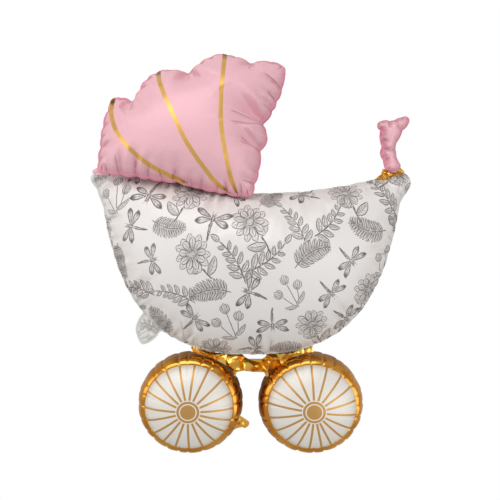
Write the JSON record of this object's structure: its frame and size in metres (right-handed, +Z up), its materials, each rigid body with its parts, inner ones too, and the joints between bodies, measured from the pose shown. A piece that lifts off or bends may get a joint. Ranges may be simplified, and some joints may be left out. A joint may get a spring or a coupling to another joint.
{
  "type": "baby carriage foil balloon",
  "caption": "Foil party balloon shaped as an old-fashioned baby carriage, lying on its back: boat-shaped tub, scalloped hood, forked handle and two drum wheels.",
  "frame": {"origin": "on the floor, under the middle of the whole balloon's box", "axes": "lying on its back: +X to the handle's side, +Y from the wheels to the hood, +Z up, out of the printed front"},
  "size_m": [0.7706, 0.9626, 0.28],
  "materials": {
    "pink_foil": "pearly satin pink metallised film",
    "white_foil": "satin white film with fine grey-brown line print",
    "gold_foil": "mirror gold metallised film, crumpled",
    "clear_film": "clear welded film"
  },
  "bodies": {
    "root": {"tub_balloon": "white_foil", "hood_balloon": "pink_foil", "handle_balloon": "pink_foil", "handle_collar": "gold_foil", "wheel_balloon_left": "gold_foil", "wheel_balloon_right": "gold_foil", "chassis": "gold_foil", "tub_filling_tail": "clear_film", "wheel_filling_tab": "gold_foil"}
  },
  "joints": []
}
